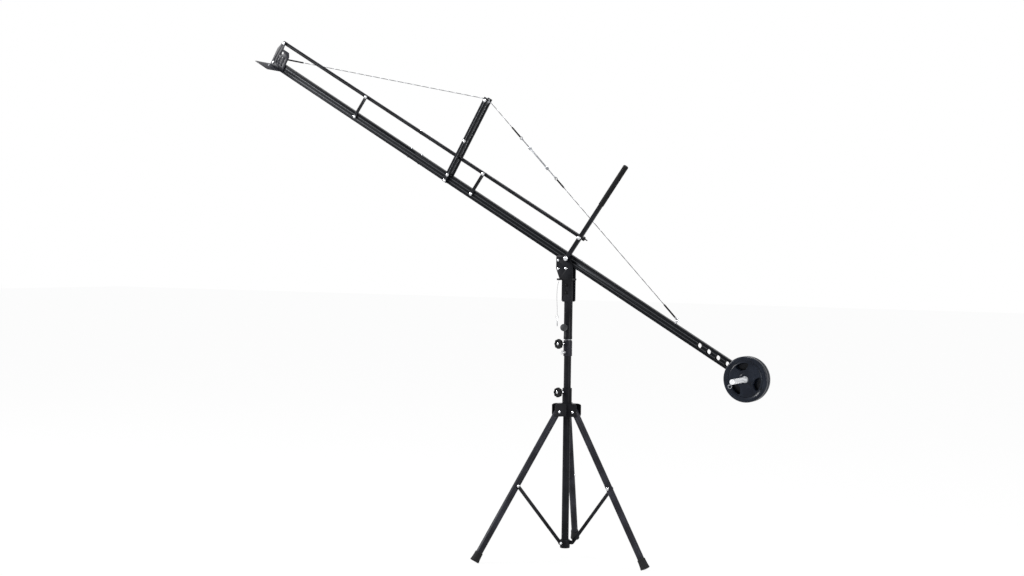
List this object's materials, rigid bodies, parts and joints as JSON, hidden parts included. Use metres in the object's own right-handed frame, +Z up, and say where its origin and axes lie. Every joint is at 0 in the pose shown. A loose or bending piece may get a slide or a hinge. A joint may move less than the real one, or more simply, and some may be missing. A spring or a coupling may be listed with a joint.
{
  "type": "camera jib crane",
  "caption": "Camera jib crane: folding tripod stand with rising column, turning saddle, truss-braced boom with tilting camera head, tilt lever and weight plates at its tail.",
  "frame": {"origin": "on the floor, under the middle of the whole crane's box", "axes": "+Z up; the boom lies in the XZ plane, with its camera end toward -X and its weights toward +X; the lever, the plates and the camera platform are on the -Y side"},
  "size_m": [3.065, 0.9042, 2.7991],
  "materials": {
    "powder_black": "satin powder coat with a fine grain",
    "boom_black": "black anodised extrusion with fine lengthwise draw lines",
    "chrome": "bright chrome plating",
    "knob_plastic": "moulded plastic",
    "foot_rubber": "moulded rubber",
    "plate_coat": "cast plate with a dark blue-grey rubbery coat",
    "steel": "bare steel"
  },
  "bodies": {
    "crown": {"leg_crown": "powder_black"},
    "crown_lock": {"crown_lock_knob": "knob_plastic"},
    "column": {"outer_tube": "powder_black", "base_hub": "powder_black", "riser_collar": "powder_black"},
    "riser_lock": {"riser_lock_knob": "knob_plastic"},
    "plunger": {"locking_plunger": "chrome"},
    "riser": {"riser_tube": "chrome"},
    "saddle": {"pan_sleeve": "powder_black", "saddle_bracket": "powder_black", "saddle_bolt_lower": "steel", "saddle_bolt_upper": "steel", "tilt_bolt": "chrome", "keeper_lanyard": "steel", "keeper_pin": "chrome"},
    "pan_lock": {"pan_lock_knob": "knob_plastic"},
    "boom": {"boom_front": "boom_black", "boom_middle": "boom_black", "boom_rear": "boom_black", "splice_insert_front": "steel", "splice_insert_rear": "steel", "weight_bar": "chrome", "mast_bar_near": "boom_black", "mast_bar_far": "boom_black", "mast_foot_bolt_upper": "chrome", "mast_foot_bolt_lower": "chrome", "mast_middle_bolt": "chrome", "mast_top_bolt": "chrome", "front_cable_anchor": "powder_black", "rear_eye_bolt": "chrome", "truss_cable_front": "steel", "truss_cable_rear": "steel", "turnbuckle_eye_upper": "chrome", "turnbuckle_eye_lower": "chrome"},
    "lever": {"tilt_lever": "powder_black", "lever_grip": "foot_rubber", "rod_rear_bolt": "chrome"},
    "rod": {"rod_front": "powder_black", "rod_rear": "powder_black"},
    "link_front": {"link_front": "powder_black"},
    "link_rear": {"link_rear": "powder_black"},
    "head": {"head_bracket": "powder_black", "head_pivot_bolt": "chrome", "head_rod_bolt": "chrome"},
    "wing": {"wing_knob": "knob_plastic"},
    "camera_screw": {"camera_screw": "steel"},
    "turnbuckle": {"turnbuckle_body": "chrome"},
    "plate_inner": {"weight_plate_inner": "plate_coat"},
    "plate_outer": {"weight_plate_outer": "plate_coat"},
    "weight_clip": {"weight_clip": "chrome"},
    "leg_1": {"leg_1": "powder_black", "foot_1": "foot_rubber"},
    "brace_1": {"brace_1": "powder_black"},
    "leg_2": {"leg_2": "powder_black", "foot_2": "foot_rubber"},
    "brace_2": {"brace_2": "powder_black"},
    "leg_3": {"leg_3": "powder_black", "foot_3": "foot_rubber"},
    "brace_3": {"brace_3": "powder_black"}
  },
  "joints": [
    {"name": "crown_lock_turn", "type": "hinge", "parent": "crown", "child": "crown_lock", "pos_m": [0.41924, -0.0432, 0.868], "axis": [-0.3256, -0.9455, 0], "range_deg": [0, 720]},
    {"name": "stand_fold", "type": "slide", "parent": "crown", "child": "column", "axis": [0, 0, -1], "range_m": [0, 0.14116]},
    {"name": "leg_1_fold", "type": "hinge", "parent": "crown", "child": "leg_1", "pos_m": [0.47045, -0.05223, 0.766], "axis": [0.1736, 0.9848, 0], "range_deg": [0, 26.1]},
    {"name": "brace_1_fold", "type": "hinge", "parent": "leg_1", "child": "brace_1", "pos_m": [0.69281, -0.09144, 0.38836], "axis": [0.1736, 0.9848, 0], "range_deg": [-56.18, 0]},
    {"name": "leg_2_fold", "type": "hinge", "parent": "crown", "child": "leg_2", "pos_m": [0.40145, 0.00567, 0.766], "axis": [-0.9397, -0.342, 0], "range_deg": [0, 26.1]},
    {"name": "brace_2_fold", "type": "hinge", "parent": "leg_2", "child": "brace_2", "pos_m": [0.32422, 0.21785, 0.38836], "axis": [-0.9397, -0.342, 0], "range_deg": [-56.18, 0]},
    {"name": "leg_3_fold", "type": "hinge", "parent": "crown", "child": "leg_3", "pos_m": [0.38581, -0.08303, 0.766], "axis": [0.766, -0.6428, 0], "range_deg": [0, 26.1]},
    {"name": "brace_3_fold", "type": "hinge", "parent": "leg_3", "child": "brace_3", "pos_m": [0.24067, -0.256, 0.38836], "axis": [0.766, -0.6428, 0], "range_deg": [-56.18, 0]},
    {"name": "riser_lock_turn", "type": "hinge", "parent": "column", "child": "riser_lock", "pos_m": [0.41924, -0.0432, 1.121], "axis": [-0.3256, -0.9455, 0], "range_deg": [0, 720]},
    {"name": "plunger_pull", "type": "slide", "parent": "column", "child": "plunger", "axis": [-0.1045, -0.9945, 0], "range_m": [0, 0.008], "stiffness_N_per_m": 400, "springref_m": -0.004},
    {"name": "riser_lift", "type": "slide", "parent": "column", "child": "riser", "axis": [0, 0, 1], "range_m": [0, 0.45]},
    {"name": "pan_turn", "type": "hinge", "parent": "riser", "child": "saddle", "pos_m": [0.41924, -0.0432, 1.566], "axis": [0, 0, 1], "continuous": true},
    {"name": "pan_lock_turn", "type": "hinge", "parent": "saddle", "child": "pan_lock", "pos_m": [0.41924, -0.0432, 1.206], "axis": [-0.0349, -0.9994, 0], "range_deg": [0, 720]},
    {"name": "boom_tilt", "type": "hinge", "parent": "saddle", "child": "boom", "pos_m": [0.41924, -0.0432, 1.566], "axis": [0, 1, 0], "range_deg": [-68, 28]},
    {"name": "lever_tilt", "type": "hinge", "parent": "boom", "child": "lever", "pos_m": [0.41924, -0.0432, 1.566], "axis": [0, 1, 0], "range_deg": [-50, 40]},
    {"name": "rod_swing", "type": "hinge", "parent": "lever", "child": "rod", "pos_m": [0.4938, -0.0432, 1.67249], "axis": [0, 1, 0], "range_deg": [-40, 50]},
    {"name": "link_front_swing", "type": "hinge", "parent": "boom", "child": "link_front", "pos_m": [-0.9309, -0.0432, 2.3455], "axis": [0, 1, 0], "range_deg": [-50, 40]},
    {"name": "link_rear_swing", "type": "hinge", "parent": "boom", "child": "link_rear", "pos_m": [-0.1688, -0.0432, 1.9055], "axis": [0, 1, 0], "range_deg": [-50, 40]},
    {"name": "head_swing", "type": "hinge", "parent": "boom", "child": "head", "pos_m": [-1.50507, -0.0432, 2.677], "axis": [0, 1, 0], "range_deg": [-50, 40]},
    {"name": "wing_turn", "type": "hinge", "parent": "lever", "child": "wing", "pos_m": [0.4938, -0.0432, 1.67249], "axis": [0, 1, 0], "range_deg": [0, 720]},
    {"name": "camera_screw_turn", "type": "hinge", "parent": "head", "child": "camera_screw", "pos_m": [-1.4809, -0.1352, 2.64688], "axis": [0.5, 0, 0.866], "continuous": true},
    {"name": "turnbuckle_turn", "type": "hinge", "parent": "boom", "child": "turnbuckle", "pos_m": [-0.08071, -0.0432, 2.41406], "axis": [0.6954, 0, -0.7186], "continuous": true},
    {"name": "plate_inner_spin", "type": "hinge", "parent": "boom", "child": "plate_inner", "pos_m": [1.41949, -0.0432, 0.9885], "axis": [0, 1, 0], "continuous": true},
    {"name": "plate_outer_spin", "type": "hinge", "parent": "boom", "child": "plate_outer", "pos_m": [1.41949, -0.0432, 0.9885], "axis": [0, 1, 0], "continuous": true},
    {"name": "clip_pull", "type": "slide", "parent": "boom", "child": "weight_clip", "axis": [-0.5, 0, -0.866], "range_m": [0, 0.045]}
  ],
  "couplings": [
    {"joint": "leg_1_fold", "follows": "stand_fold", "rad_per_m": 3.2147},
    {"joint": "brace_1_fold", "follows": "stand_fold", "rad_per_m": -6.9341},
    {"joint": "leg_2_fold", "follows": "stand_fold", "rad_per_m": 3.2147},
    {"joint": "brace_2_fold", "follows": "stand_fold", "rad_per_m": -6.9341},
    {"joint": "leg_3_fold", "follows": "stand_fold", "rad_per_m": 3.2147},
    {"joint": "brace_3_fold", "follows": "stand_fold", "rad_per_m": -6.9341},
    {"joint": "rod_swing", "follows": "lever_tilt", "ratio": -1},
    {"joint": "link_front_swing", "follows": "lever_tilt", "ratio": 1},
    {"joint": "link_rear_swing", "follows": "lever_tilt", "ratio": 1},
    {"joint": "head_swing", "follows": "lever_tilt", "ratio": 1}
  ]
}
